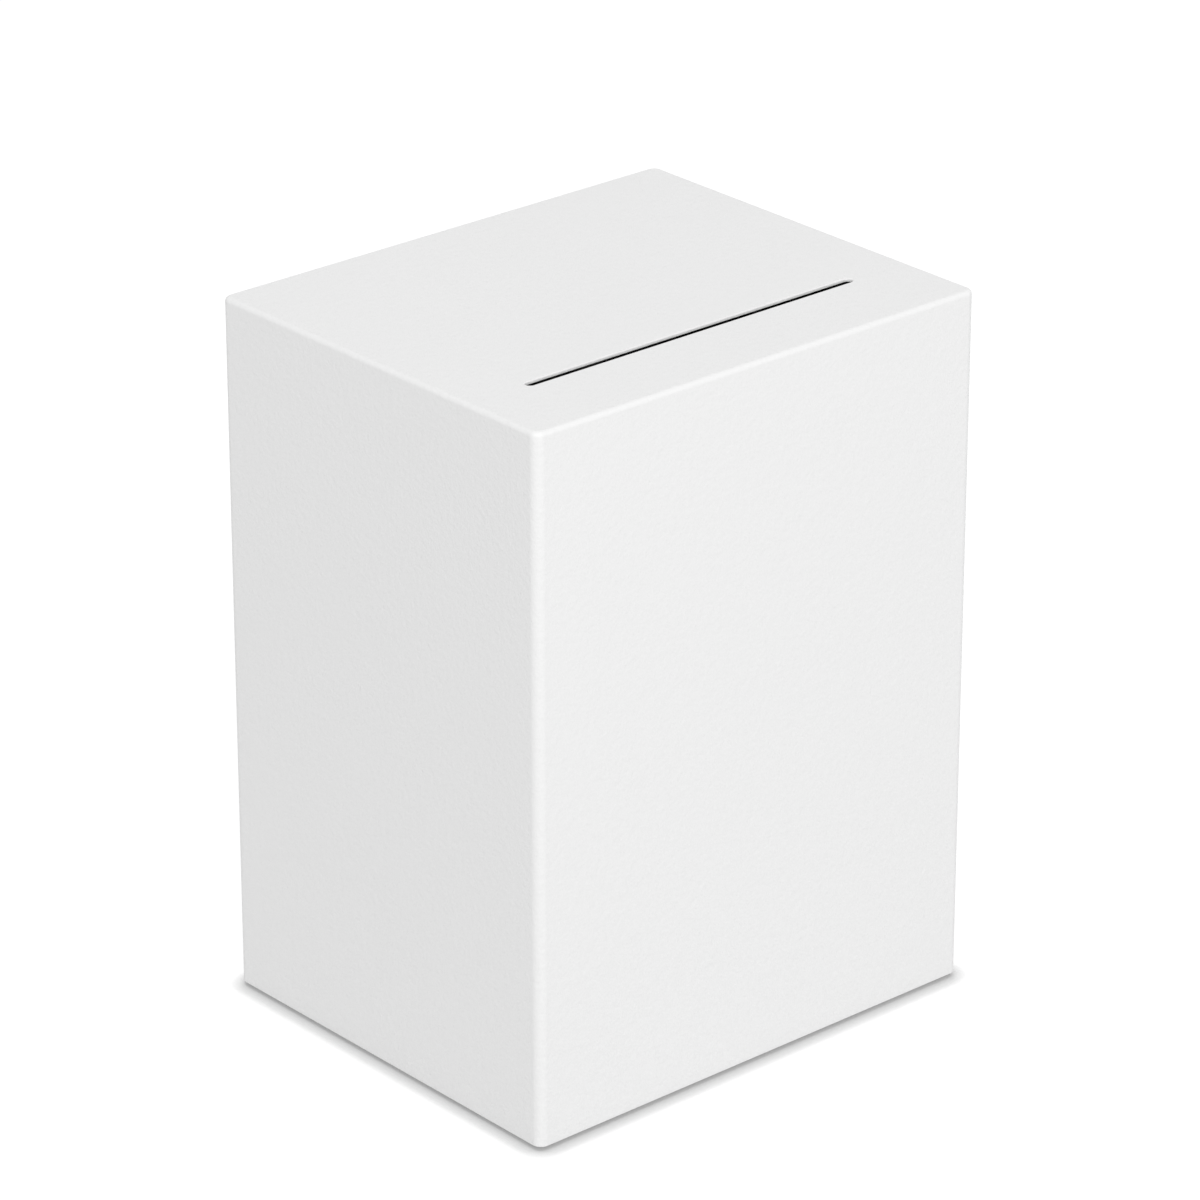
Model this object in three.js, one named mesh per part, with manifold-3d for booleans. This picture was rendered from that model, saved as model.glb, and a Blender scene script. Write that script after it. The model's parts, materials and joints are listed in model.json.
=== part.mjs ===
// Money box folded from sheet steel, with a note slot in its top and a lockable door at its back.
// Millimetres, +Z up. The front faces -Y and the four feet stand on z = 0.

import * as THREE from 'three';
import { mergeVertices } from 'three/addons/utils/BufferGeometryUtils.js';
import Module from 'manifold-3d';

const wasm = await Module();
wasm.setup();

// Body shell
const bodyWidth = 120;
const bodyDepth = 100;
const bodyHeight = 159;
const sheet = 0.7;
const uprightRadius = 2.2;
const topRadius = 1.1;

// Note slot in the top
const slotLength = 89;
const slotWidth = 2.1;
const slotSetback = 21.2;

// Small folds: the inside radius of the bending tool
const bendInside = 0.5;

// Door frame folded from the back wall: face, jamb and stop lip
const openingCorner = 3;
const jambDepth = 8;
const lipWidth = 4;

// Door pan
const doorReveal = 1;
const doorSeatGap = 0.4;

// Base pan
const baseRecess = 1;
const baseHeadroom = 2;

// Push-in feet
const footProud = 1;
const footDiameter = 10;
const footChamfer = 0.5;
const footStemDiameter = 4;
const footBarbDiameter = 6.4;
const footBarbHeight = 3;
const footWallGap = 6;

// Knuckle hinge
const pinDiameter = 2;
const pinHeadDiameter = 3.4;
const pinHeadHeight = 0.8;
const leafThickness = 0.8;
const leafMargin = 0.8;
const leafEdgeGap = 2.3;
const hingeEndGap = 12.5;
const knuckleCount = 11;

// Rivets
const rivetShankDiameter = 2.4;
const rivetHeadDiameter = 4;
const rivetHeadHeight = 1;
const rivetTailDiameter = 3.2;
const rivetTailHeight = 0.7;
const rivetsPerLeaf = 4;

// Lock housing, washer and nut
const lockHeadRim = 1.6;
const lockHeadHeight = 2.6;
const lockHeadBevel = 0.8;
const barrelWall = 2.2;
const barrelFlatWall = 1.1;
const barrelLength = 11.4;
const toothCount = 12;
const toothHeight = 1;
const toothedWasherThickness = 0.8;
const nutWall = 2;
const nutThickness = 3;
const nutChamfer = 0.8;
const lockWallGap = 3.5;

// Lock plug, its stop and its cam
const plugShoulderWidth = 1;
const plugFlange = 1;
const plugFlangeHeight = 1.2;
const keywayWidth = 1.8;
const keywayWall = 1.8;
const keywayDepth = 9;
const postWall = 0.9;
const stopThickness = 1;
const stopLugAngle = 40;
const stopLugHeight = 1.5;
const stopPlay = 3;
const quarterTurn = 90;
const camThickness = 2;
const camEyeWall = 2;
const camShoulder = 1;
const camEngagement = 6;
const camTipRadius = 3;
const camRiserGap = 1;
const camRiserRun = 1.5;
const lipClearance = 0.4;
const screwDiameter = 4;
const screwLength = 7;
const screwHeadDiameter = 8;
const screwHeadHeight = 2.4;
const screwRecess = 1.2;

// Clearances: coated or clamped faces, pieces that turn or pass through, and overrun of a cut
const seatGap = 0.1;
const runningGap = 0.3;
const overrun = 1;

// Facets
const cornerSteps = 6;
const bendSteps = 4;
const roundSteps = 20;
const smallRoundSteps = 12;
const leastRadius = 0.2;

// Hinge section: the leaves are as wide as their rivets need
const bend = bendInside + sheet;
const knuckleRadius = pinDiameter / 2 + runningGap + leafThickness;
const hingeOverhang = seatGap + 2 * knuckleRadius;
const leafStart = knuckleRadius + runningGap;
const leafReach = leafStart + rivetHeadDiameter + 2 * leafMargin;
const rivetReach = (leafStart + leafReach) / 2;
const leafFaceDepth = -(seatGap + leafThickness);

// Heights, and places in depth: hinge knuckles stand out behind the back face
const rimZ = footProud;
const topZ = rimZ + bodyHeight;
const frontY = -(bodyDepth + hingeOverhang) / 2;
const backY = frontY + bodyDepth;
const middleY = (frontY + backY) / 2;

// Door opening, centred on the back wall, in a frame as wide as a hinge leaf needs
const frameWidth = uprightRadius + leafEdgeGap + leafReach - doorReveal / 2;
const openingWidth = bodyWidth - 2 * frameWidth;
const openingHeight = bodyHeight - 2 * frameWidth;
const openingZ = (rimZ + topZ) / 2;
const doorWidth = openingWidth - 2 * doorReveal;
const doorHeight = openingHeight - 2 * doorReveal;
const doorDepth = jambDepth - sheet - doorSeatGap;
const doorCorner = openingCorner - doorReveal;

// Hinge axis over the middle of the left reveal
const hingeX = -(openingWidth - doorReveal) / 2;
const hingeDepth = -(seatGap + knuckleRadius);
const hingeLength = openingHeight - 2 * hingeEndGap;

// Lock sizes from the inside out: screw, post, plug, barrel and nut
const threadDiameter = screwDiameter + 2 * runningGap;
const postSize = threadDiameter + 2 * postWall;
const postHoleSize = postSize + 2 * runningGap;
const plugRadius = postSize / Math.SQRT2 + plugShoulderWidth;
const plugFlangeRadius = plugRadius + plugFlange;
const plugBore = plugRadius + runningGap;
const keywayHeight = 2 * (plugRadius - keywayWall);
const barrelRadius = plugBore + barrelWall;
const barrelFlats = 2 * (plugBore + barrelFlatWall);
const barrelHoleRadius = barrelRadius + runningGap;
const camEye = postHoleSize / Math.SQRT2 + camEyeWall;
const camWidth = 2 * (camEye - camShoulder);

// Lock axis, far enough from the free flange of the door for its nut
const nutFlats = 2 * (barrelRadius + nutWall);
const nutCorner = nutFlats / Math.sqrt(3);
const lockX = doorWidth / 2 - sheet - lockWallGap - nutCorner;
const washerBack = sheet + seatGap + toothedWasherThickness;
const plugShoulder = barrelLength + runningGap;
const flangeSeat = plugFlangeHeight + runningGap - lockHeadHeight;
const stopFront = plugShoulder + seatGap;
const stopBack = stopFront + stopThickness;
const camFront = stopBack + seatGap;
const camBack = camFront + camThickness;
const tongueFront = jambDepth + lipClearance;
const camReach = openingWidth / 2 - lipWidth + camEngagement - lockX;

// Places in the back frame: x as in the body, y up from the opening's middle, z into the box
const back = new THREE.Group();
back.position.set(0, backY, openingZ);
back.rotation.x = Math.PI / 2;
back.updateMatrix();

const coat = { color: 0xf0f0ef, roughness: 0.45, metalness: 0 };
const zinc = { color: 0xb9bcc0, roughness: 0.38, metalness: 1 };
const chrome = { color: 0xd2d4d6, roughness: 0.16, metalness: 1 };
const brass = { color: 0xc9a45a, roughness: 0.32, metalness: 1 };
const rubber = { color: 0x1d1d1e, roughness: 0.8, metalness: 0 };

// Closed solids and their joins and cuts

function solidOf(geometry) {
  const bare = geometry.clone();
  bare.deleteAttribute('normal');
  bare.deleteAttribute('uv');
  const merged = mergeVertices(bare);
  const corners = merged.index.array;
  const triangles = [];
  for (let i = 0; i < corners.length; i += 3) {
    const [a, b, c] = corners.slice(i, i + 3);
    if (a !== b && b !== c && c !== a) triangles.push(a, b, c);
  }
  return new wasm.Manifold(new wasm.Mesh({
    numProp: 3,
    vertProperties: merged.attributes.position.array,
    triVerts: new Uint32Array(triangles),
  }));
}

function geometryOf(solid) {
  const mesh = solid.getMesh();
  const geometry = new THREE.BufferGeometry();
  geometry.setAttribute('position', new THREE.BufferAttribute(mesh.vertProperties, 3));
  geometry.setIndex(new THREE.BufferAttribute(mesh.triVerts, 1));
  geometry.computeVertexNormals();
  return geometry;
}

function join(first, ...others) {
  return geometryOf(others.reduce((solid, other) => solid.add(solidOf(other)), solidOf(first)));
}

function cut(first, ...tools) {
  return geometryOf(tools.reduce((solid, tool) => solid.subtract(solidOf(tool)), solidOf(first)));
}

function common(first, second) {
  return geometryOf(solidOf(first).intersect(solidOf(second)));
}

// Basic forms along z

function roundedRectangle(width, height, radius) {
  const points = [];
  for (let corner = 0; corner < 4; corner += 1) {
    const sideX = corner === 0 || corner === 3 ? 1 : -1;
    const sideY = corner < 2 ? 1 : -1;
    for (let step = 0; step <= cornerSteps; step += 1) {
      const angle = (Math.PI / 2) * (corner + step / cornerSteps);
      points.push(new THREE.Vector2(
        sideX * (width / 2 - radius) + radius * Math.cos(angle),
        sideY * (height / 2 - radius) + radius * Math.sin(angle),
      ));
    }
  }
  return points;
}

// Skins rounded rectangles that follow each other at rising levels
function loft(sections) {
  const rings = sections.map(({ width, height, radius }) => roundedRectangle(width, height, radius));
  const count = rings[0].length;
  const positions = [];
  rings.forEach((ring, index) => {
    ring.forEach((point) => positions.push(point.x, point.y, sections[index].level));
  });
  const triangles = [];
  for (let ring = 0; ring + 1 < rings.length; ring += 1) {
    for (let i = 0; i < count; i += 1) {
      const a = ring * count + i;
      const b = ring * count + ((i + 1) % count);
      triangles.push(a, b, b + count, a, b + count, a + count);
    }
  }
  const last = (rings.length - 1) * count;
  THREE.ShapeUtils.triangulateShape(rings[0], []).forEach(([a, b, c]) => triangles.push(a, c, b));
  THREE.ShapeUtils.triangulateShape(rings[rings.length - 1], []).forEach(([a, b, c]) => {
    triangles.push(last + a, last + b, last + c);
  });
  const geometry = new THREE.BufferGeometry();
  geometry.setAttribute('position', new THREE.Float32BufferAttribute(positions, 3));
  geometry.setIndex(triangles);
  return geometry;
}

// A block whose edges are rounded round its face and sharp round its rim
function roundedBlock(width, height, corner, edge, face, rim) {
  const away = Math.sign(rim - face);
  const sections = [];
  for (let step = 0; step <= bendSteps; step += 1) {
    const angle = (Math.PI / 2) * (step / bendSteps);
    const inset = edge * (1 - Math.sin(angle));
    sections.push({
      width: width - 2 * inset,
      height: height - 2 * inset,
      radius: Math.max(corner - inset, leastRadius),
      level: face + away * edge * (1 - Math.cos(angle)),
    });
  }
  sections.push({ width, height, radius: corner, level: rim });
  return loft(away > 0 ? sections : sections.reverse());
}

// A sheet pan: a face with walls folded away from it all round, open at the rim
function pan(width, height, corner, edge, face, rim) {
  const away = Math.sign(rim - face);
  const inside = roundedBlock(
    width - 2 * sheet,
    height - 2 * sheet,
    Math.max(corner - sheet, leastRadius),
    Math.max(edge - sheet, leastRadius),
    face + away * sheet,
    rim + away * overrun,
  );
  return cut(roundedBlock(width, height, corner, edge, face, rim), inside);
}

function extrude(shape, from, to, steps = roundSteps) {
  const options = { depth: to - from, bevelEnabled: false, curveSegments: steps / 2 };
  return new THREE.ExtrudeGeometry(shape, options).translate(0, 0, from);
}

function turned(profile, steps = roundSteps) {
  const points = profile.map(([radius, level]) => new THREE.Vector2(radius, level));
  return new THREE.LatheGeometry(points, steps).rotateX(Math.PI / 2);
}

function rod(radius, from, to, steps = roundSteps) {
  const cylinder = new THREE.CylinderGeometry(radius, radius, to - from, steps);
  return cylinder.rotateX(Math.PI / 2).translate(0, 0, (from + to) / 2);
}

function block(width, height, from, to) {
  return new THREE.BoxGeometry(width, height, to - from).translate(0, 0, (from + to) / 2);
}

function inBackFrame(geometry) {
  return geometry.applyMatrix4(back.matrix);
}

function node(name, geometry, finish) {
  const mesh = new THREE.Mesh(geometry, new THREE.MeshStandardMaterial(finish));
  mesh.name = name;
  return mesh;
}

// Body shell

// The folded door frame at one side of its sheet: the seen face, or the face a sheet behind it
function throat(behind, start, end) {
  const radius = bend - behind;
  const sections = [];
  const addSection = (outset, level) => sections.push({
    width: openingWidth + 2 * outset,
    height: openingHeight + 2 * outset,
    radius: openingCorner + outset,
    level,
  });
  addSection(bend, start);
  for (let step = 0; step <= bendSteps; step += 1) {
    const angle = (Math.PI / 2) * (step / bendSteps);
    addSection(bend - radius * Math.sin(angle), bend - radius * Math.cos(angle));
  }
  addSection(behind, end);
  return loft(sections);
}

function lipOpening() {
  const section = {
    width: openingWidth - 2 * lipWidth,
    height: openingHeight - 2 * lipWidth,
    radius: openingCorner,
  };
  return loft([{ ...section, level: -overrun }, { ...section, level: jambDepth + overrun }]);
}

function noteSlot() {
  const end = slotLength / 2 - slotWidth / 2;
  const outline = new THREE.Shape();
  outline.absarc(end, 0, slotWidth / 2, -Math.PI / 2, Math.PI / 2);
  outline.absarc(-end, 0, slotWidth / 2, Math.PI / 2, 1.5 * Math.PI);
  const bottom = topZ - sheet - overrun;
  return extrude(outline, bottom, topZ + overrun, smallRoundSteps).translate(0, frontY + slotSetback, 0);
}

function rivetHeights() {
  const pitch = hingeLength / rivetsPerLeaf;
  return Array.from({ length: rivetsPerLeaf }, (_, index) => (index + 0.5) * pitch - hingeLength / 2);
}

function rivetHoles(side) {
  const radius = rivetShankDiameter / 2 + runningGap;
  const x = hingeX + side * rivetReach;
  return rivetHeights().map((y) => {
    const hole = rod(radius, leafFaceDepth - overrun, sheet + overrun, smallRoundSteps);
    return hole.translate(x, y, 0);
  });
}

function bodyShell() {
  const walls = pan(bodyWidth, bodyDepth, uprightRadius, topRadius, topZ, rimZ).translate(0, middleY, 0);
  const frame = inBackFrame(throat(sheet, sheet / 2, jambDepth));
  const doorway = inBackFrame(throat(0, -overrun, jambDepth - sheet));
  const lip = inBackFrame(lipOpening());
  const holes = rivetHoles(-1).map(inBackFrame);
  return cut(join(walls, frame), doorway, lip, noteSlot(), ...holes);
}

// Base pan and feet

const baseZ = rimZ + baseRecess;
const baseTop = baseZ + sheet;
const baseFlangeTop = rimZ + frameWidth - sheet - baseHeadroom;
const footX = bodyWidth / 2 - sheet - footWallGap - footDiameter / 2;
const footY = bodyDepth / 2 - sheet - footWallGap - footDiameter / 2;

const footPlaces = [
  ['foot_front_left', -footX, middleY - footY],
  ['foot_front_right', footX, middleY - footY],
  ['foot_rear_left', -footX, middleY + footY],
  ['foot_rear_right', footX, middleY + footY],
];

function basePan() {
  const side = sheet + seatGap;
  const walls = pan(
    bodyWidth - 2 * side,
    bodyDepth - 2 * side,
    uprightRadius - side,
    bend,
    baseZ,
    baseFlangeTop,
  ).translate(0, middleY, 0);
  const holeRadius = footStemDiameter / 2 + runningGap;
  const holes = footPlaces.map(([, x, y]) => rod(holeRadius, rimZ, baseTop + overrun).translate(x, y, 0));
  return cut(walls, ...holes);
}

function foot() {
  const head = footDiameter / 2;
  const stem = footStemDiameter / 2;
  const barbFrom = baseTop + seatGap;
  return turned([
    [0, 0],
    [head - footChamfer, 0],
    [head, footChamfer],
    [head, baseZ - seatGap],
    [stem, baseZ - seatGap],
    [stem, barbFrom],
    [footBarbDiameter / 2, barbFrom],
    [stem, barbFrom + footBarbHeight],
    [0, barbFrom + footBarbHeight],
  ]);
}

// Door

function rearDoor() {
  const barrelHole = common(
    rod(barrelHoleRadius, -overrun, sheet + overrun),
    block(barrelFlats + 2 * runningGap, 2 * barrelRadius + overrun, -2 * overrun, sheet + 2 * overrun),
  ).translate(lockX, 0, 0);
  const walls = pan(doorWidth, doorHeight, doorCorner, bend, 0, doorDepth);
  return cut(walls, barrelHole, ...rivetHoles(1));
}

// Hinge: two leaves with rolled knuckles that take turns along the pin

function knuckle(side, from, to) {
  const tongue = side * (leafStart + overrun);
  const innerRadius = knuckleRadius - leafThickness;
  const meeting = Math.asin(innerRadius / knuckleRadius);
  const outline = new THREE.Shape();
  outline.moveTo(tongue, -knuckleRadius);
  outline.lineTo(0, -knuckleRadius);
  if (side < 0) outline.absarc(0, 0, knuckleRadius, -Math.PI / 2, Math.PI + meeting, false);
  else outline.absarc(0, 0, knuckleRadius, -Math.PI / 2, -meeting, true);
  outline.lineTo(tongue, leafThickness - knuckleRadius);
  outline.holes.push(new THREE.Path().absarc(0, 0, innerRadius, 0, 2 * Math.PI));
  const roll = extrude(outline, from, to, smallRoundSteps);
  return roll.rotateX(-Math.PI / 2).translate(hingeX, 0, hingeDepth);
}

function hingeLeaf(side, firstKnuckle) {
  const width = leafReach - leafStart;
  const x = hingeX + side * (leafStart + width / 2);
  const strip = block(width, hingeLength, leafFaceDepth, -seatGap).translate(x, 0, 0);
  const pitch = hingeLength / knuckleCount;
  const knuckles = [];
  for (let index = firstKnuckle; index < knuckleCount; index += 2) {
    const start = index * pitch - hingeLength / 2;
    knuckles.push(knuckle(side, start + runningGap / 2, start + pitch - runningGap / 2));
  }
  return cut(join(strip, ...knuckles), ...rivetHoles(side));
}

function hingePin() {
  const end = hingeLength / 2 + seatGap;
  const head = pinHeadDiameter / 2;
  const shank = pinDiameter / 2;
  const pin = turned([
    [0, -end - pinHeadHeight],
    [shank, -end - pinHeadHeight],
    [head, -end - pinHeadHeight / 2],
    [head, -end],
    [shank, -end],
    [shank, end],
    [head, end],
    [head, end + pinHeadHeight / 2],
    [shank, end + pinHeadHeight],
    [0, end + pinHeadHeight],
  ], smallRoundSteps);
  return pin.rotateX(-Math.PI / 2).translate(hingeX, 0, hingeDepth);
}

function rivet() {
  const underHead = leafFaceDepth - seatGap;
  const overTail = sheet + seatGap;
  const shank = rivetShankDiameter / 2;
  const dome = [];
  for (let step = 0; step <= bendSteps; step += 1) {
    const angle = (Math.PI / 2) * (step / bendSteps);
    dome.push([
      (rivetHeadDiameter / 2) * Math.sin(angle),
      underHead - rivetHeadHeight * Math.cos(angle),
    ]);
  }
  return turned([
    ...dome,
    [shank, underHead],
    [shank, overTail],
    [rivetTailDiameter / 2, overTail],
    [rivetTailDiameter / 2, overTail + rivetTailHeight],
    [0, overTail + rivetTailHeight],
  ], smallRoundSteps);
}

function rivetRow(name, side) {
  return rivetHeights().map((y, index) => {
    const mesh = node(`${name}_${index + 1}`, rivet(), zinc);
    mesh.position.set(hingeX + side * rivetReach, y, 0);
    return mesh;
  });
}

// Lock: forms round the lock's own axis, with depth counted from the door's outer face

function ringSector(inner, outer, fromDegrees, toDegrees) {
  const from = THREE.MathUtils.degToRad(fromDegrees);
  const to = THREE.MathUtils.degToRad(toDegrees);
  const outline = new THREE.Shape();
  outline.absarc(0, 0, outer, from, to, false);
  outline.absarc(0, 0, inner, to, from, true);
  return outline;
}

const stopLugStart = quarterTurn / 2;

function lockHousing() {
  const head = barrelRadius + lockHeadRim;
  const mouth = plugFlangeRadius + runningGap;
  const body = turned([
    [mouth, -lockHeadHeight],
    [head - lockHeadBevel, -lockHeadHeight],
    [head, lockHeadBevel - lockHeadHeight],
    [head, -seatGap],
    [barrelRadius, -seatGap],
    [barrelRadius, barrelLength],
    [plugBore, barrelLength],
    [plugBore, flangeSeat],
    [mouth, flangeSeat],
    [mouth, -lockHeadHeight],
  ]);
  const flats = [-1, 1].map((side) => {
    const waste = block(barrelRadius, 2 * barrelRadius, -seatGap, barrelLength + overrun);
    return waste.translate((side * (barrelFlats + barrelRadius)) / 2, 0, 0);
  });
  const notch = ringSector(
    plugBore - overrun,
    barrelRadius + overrun,
    stopLugStart - stopLugAngle / 2 - stopPlay,
    stopLugStart + quarterTurn + stopLugAngle / 2 + stopPlay,
  );
  const notchFloor = stopFront - stopLugHeight - runningGap;
  return cut(body, ...flats, extrude(notch, notchFloor, barrelLength + overrun));
}

function lockWasher() {
  const outer = nutFlats / 2;
  const outline = new THREE.Shape();
  const points = [];
  for (let index = 0; index < 4 * toothCount; index += 1) {
    const angle = ((index + 0.5) * Math.PI) / (2 * toothCount);
    const radius = index % 4 < 2 ? outer : outer - toothHeight;
    points.push(new THREE.Vector2(radius * Math.cos(angle), radius * Math.sin(angle)));
  }
  outline.setFromPoints(points);
  outline.holes.push(new THREE.Path().absarc(0, 0, barrelHoleRadius, 0, 2 * Math.PI));
  return extrude(outline, sheet + seatGap, washerBack);
}

function lockNut() {
  const front = washerBack + seatGap;
  const rear = front + nutThickness;
  const hexagon = new THREE.Shape();
  const corners = Array.from({ length: 6 }, (_, index) => {
    const angle = (index * Math.PI) / 3;
    return new THREE.Vector2(nutCorner * Math.cos(angle), nutCorner * Math.sin(angle));
  });
  hexagon.setFromPoints(corners);
  hexagon.holes.push(new THREE.Path().absarc(0, 0, barrelHoleRadius, 0, 2 * Math.PI));
  const chamfered = turned([
    [0, front - overrun],
    [nutCorner, front - overrun],
    [nutCorner, rear - nutChamfer / 2],
    [nutCorner - nutChamfer, rear],
    [0, rear],
  ]);
  return common(extrude(hexagon, front, rear), chamfered);
}

function lockPlug() {
  const face = -lockHeadHeight;
  const body = turned([
    [0, face],
    [plugFlangeRadius, face],
    [plugFlangeRadius, face + plugFlangeHeight],
    [plugRadius, face + plugFlangeHeight],
    [plugRadius, plugShoulder],
    [0, plugShoulder],
  ]);
  const post = block(postSize, postSize, plugShoulder - overrun, camBack - seatGap);
  const keyway = block(keywayWidth, keywayHeight, face - overrun, face + keywayDepth);
  const thread = rod(threadDiameter / 2, camBack - screwLength - runningGap, camBack + overrun);
  return cut(join(body, post), keyway, thread);
}

function postHole(from, to) {
  return block(postHoleSize, postHoleSize, from - overrun, to + overrun);
}

function stopWasher() {
  const inner = plugBore + runningGap;
  const disc = rod(barrelRadius, stopFront, stopBack);
  const lug = ringSector(
    inner,
    barrelRadius - runningGap,
    stopLugStart - stopLugAngle / 2,
    stopLugStart + stopLugAngle / 2,
  );
  const stop = join(disc, extrude(lug, stopFront - stopLugHeight, stopFront + stopThickness / 2));
  return cut(stop, postHole(stopFront, stopBack));
}

// The cam hangs down from the post and is cranked towards the door to pass behind the stop lip
function lockCam() {
  const riser = barrelRadius + camRiserGap;
  const side = new THREE.Shape([
    [-camEye, camFront],
    [riser, camFront],
    [riser + camRiserRun, tongueFront],
    [camReach, tongueFront],
    [camReach, tongueFront + camThickness],
    [riser + camRiserRun + camThickness, tongueFront + camThickness],
    [riser + camThickness, camBack],
    [-camEye, camBack],
  ].map(([reach, depth]) => new THREE.Vector2(-reach, depth)));
  const strip = extrude(side, -camWidth, camWidth).rotateY(Math.PI / 2).rotateX(Math.PI / 2);
  const half = camWidth / 2;
  const neck = Math.acos(half / camEye);
  const plan = new THREE.Shape();
  plan.absarc(0, 0, camEye, neck - Math.PI, -neck, true);
  plan.absarc(half - camTipRadius, camTipRadius - camReach, camTipRadius, 0, -Math.PI / 2, true);
  plan.absarc(camTipRadius - half, camTipRadius - camReach, camTipRadius, -Math.PI / 2, -Math.PI, true);
  const outline = extrude(plan, tongueFront - overrun, camBack + overrun);
  return cut(common(strip, outline), postHole(camFront, camBack));
}

function camScrew() {
  const underHead = camBack + seatGap;
  const top = underHead + screwHeadHeight;
  const shank = screwDiameter / 2;
  const head = screwHeadDiameter / 2;
  const body = turned([
    [0, camBack - screwLength],
    [shank, camBack - screwLength],
    [shank, underHead],
    [head, underHead],
    [head, top - screwHeadHeight / 2],
    [head - screwHeadHeight / 2, top],
    [0, top],
  ]);
  const slotSpan = screwHeadDiameter / 2;
  const slotGap = screwDiameter / 4;
  const recess = [[slotSpan, slotGap], [slotGap, slotSpan]].map(
    ([width, height]) => block(width, height, top - screwRecess, top + overrun),
  );
  return cut(body, ...recess);
}

// Assembly

const lock = new THREE.Group();
lock.position.set(lockX, 0, 0);
lock.add(
  node('lock_housing', lockHousing(), chrome),
  node('lock_washer', lockWasher(), zinc),
  node('lock_nut', lockNut(), zinc),
  node('lock_plug', lockPlug(), brass),
  node('stop_washer', stopWasher(), zinc),
  node('lock_cam', lockCam(), zinc),
  node('cam_screw', camScrew(), zinc),
);

back.add(
  node('rear_door', rearDoor(), coat),
  node('hinge_frame_leaf', hingeLeaf(-1, 0), zinc),
  node('hinge_door_leaf', hingeLeaf(1, 1), zinc),
  node('hinge_pin', hingePin(), zinc),
  ...rivetRow('frame_rivet', -1),
  ...rivetRow('door_rivet', 1),
  lock,
);

const moneyBox = new THREE.Group();
moneyBox.add(
  node('body_shell', bodyShell(), coat),
  node('base_pan', basePan(), coat),
  back,
);

for (const [name, x, y] of footPlaces) {
  const mesh = node(name, foot(), rubber);
  mesh.position.set(x, y, 0);
  moneyBox.add(mesh);
}

export default moneyBox;
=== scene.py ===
# Money box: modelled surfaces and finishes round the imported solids.
# Metres, +Z up. The plain front faces -Y, the door is in the back at +Y and the feet stand on z = 0.
import json
import math
from contextlib import contextmanager

import bmesh
import bpy
from mathutils import Matrix, Vector


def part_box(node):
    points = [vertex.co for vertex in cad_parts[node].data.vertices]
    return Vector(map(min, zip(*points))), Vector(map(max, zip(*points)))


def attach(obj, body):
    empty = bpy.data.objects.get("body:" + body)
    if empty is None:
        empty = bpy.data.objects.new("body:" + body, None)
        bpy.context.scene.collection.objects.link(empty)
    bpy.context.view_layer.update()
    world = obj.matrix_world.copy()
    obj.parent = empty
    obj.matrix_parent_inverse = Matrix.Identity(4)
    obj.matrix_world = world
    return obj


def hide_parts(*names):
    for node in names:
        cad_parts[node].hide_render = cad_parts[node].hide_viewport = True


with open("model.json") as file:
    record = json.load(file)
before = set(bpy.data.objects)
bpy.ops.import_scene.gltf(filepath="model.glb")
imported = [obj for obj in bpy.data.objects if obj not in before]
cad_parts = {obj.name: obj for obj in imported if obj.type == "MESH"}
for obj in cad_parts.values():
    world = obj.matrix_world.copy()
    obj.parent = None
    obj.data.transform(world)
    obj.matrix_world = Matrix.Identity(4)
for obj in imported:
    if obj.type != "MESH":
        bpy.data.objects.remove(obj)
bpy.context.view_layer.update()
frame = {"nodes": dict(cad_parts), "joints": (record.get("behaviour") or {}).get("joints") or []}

MM = 0.001
X, Y, Z = 0, 1, 2

# Sheet steel, its folds and its cut edges
SHEET = 0.7 * MM
UPRIGHT_RADIUS = 2.2 * MM
TOP_RADIUS = 1.1 * MM
FOLD_INSIDE = 0.5 * MM
FOLD_RADIUS = FOLD_INSIDE + SHEET
CUT_EDGE = 0.2 * MM

# Slot in the top
SLOT_LENGTH = 89.0 * MM
SLOT_WIDTH = 2.1 * MM
SLOT_SETBACK = 21.2 * MM
SLOT_RIM = 0.35 * MM

# Door frame folded from the back wall
DOOR_REVEAL = 1.0 * MM
OPENING_CORNER = 3.0 * MM
JAMB_DEPTH = 8.0 * MM
LIP_WIDTH = 4.0 * MM

# Gaps of clamped faces and of pieces that turn or pass through, and how far a cutting tool stands out
SEAT_GAP = 0.1 * MM
RUNNING_GAP = 0.3 * MM
OVERRUN = 1.0 * MM

# Feet
FOOT_CHAMFER = 0.5 * MM
FOOT_STEM = 2.0 * MM
FOOT_BARB = 3.2 * MM
FOOT_BARB_HEIGHT = 3.0 * MM

# Knuckle hinge
LEAF_THICKNESS = 0.8 * MM
LEAF_EDGE = 0.1 * MM
KNUCKLE_COUNT = 11
ROLL_ANGLE = math.radians(300)
PIN_HEAD_HEIGHT = 0.8 * MM
PIN_RADIUS = 1.0 * MM

# Rivets
RIVET_SHANK = 1.2 * MM
RIVET_TAIL = 1.6 * MM
RIVET_TAIL_HEIGHT = 0.7 * MM
RIVET_HEAD_HEIGHT = 1.0 * MM
RIVET_DIMPLE = 0.6 * MM
RIVET_DIMPLE_RIM = 0.1 * RIVET_HEAD_HEIGHT
RIVET_DIMPLE_FLOOR = 0.9 * RIVET_DIMPLE
RIVET_DIMPLE_DEPTH = 0.35 * MM
RIVET_EDGE = LEAF_EDGE / 2

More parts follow.
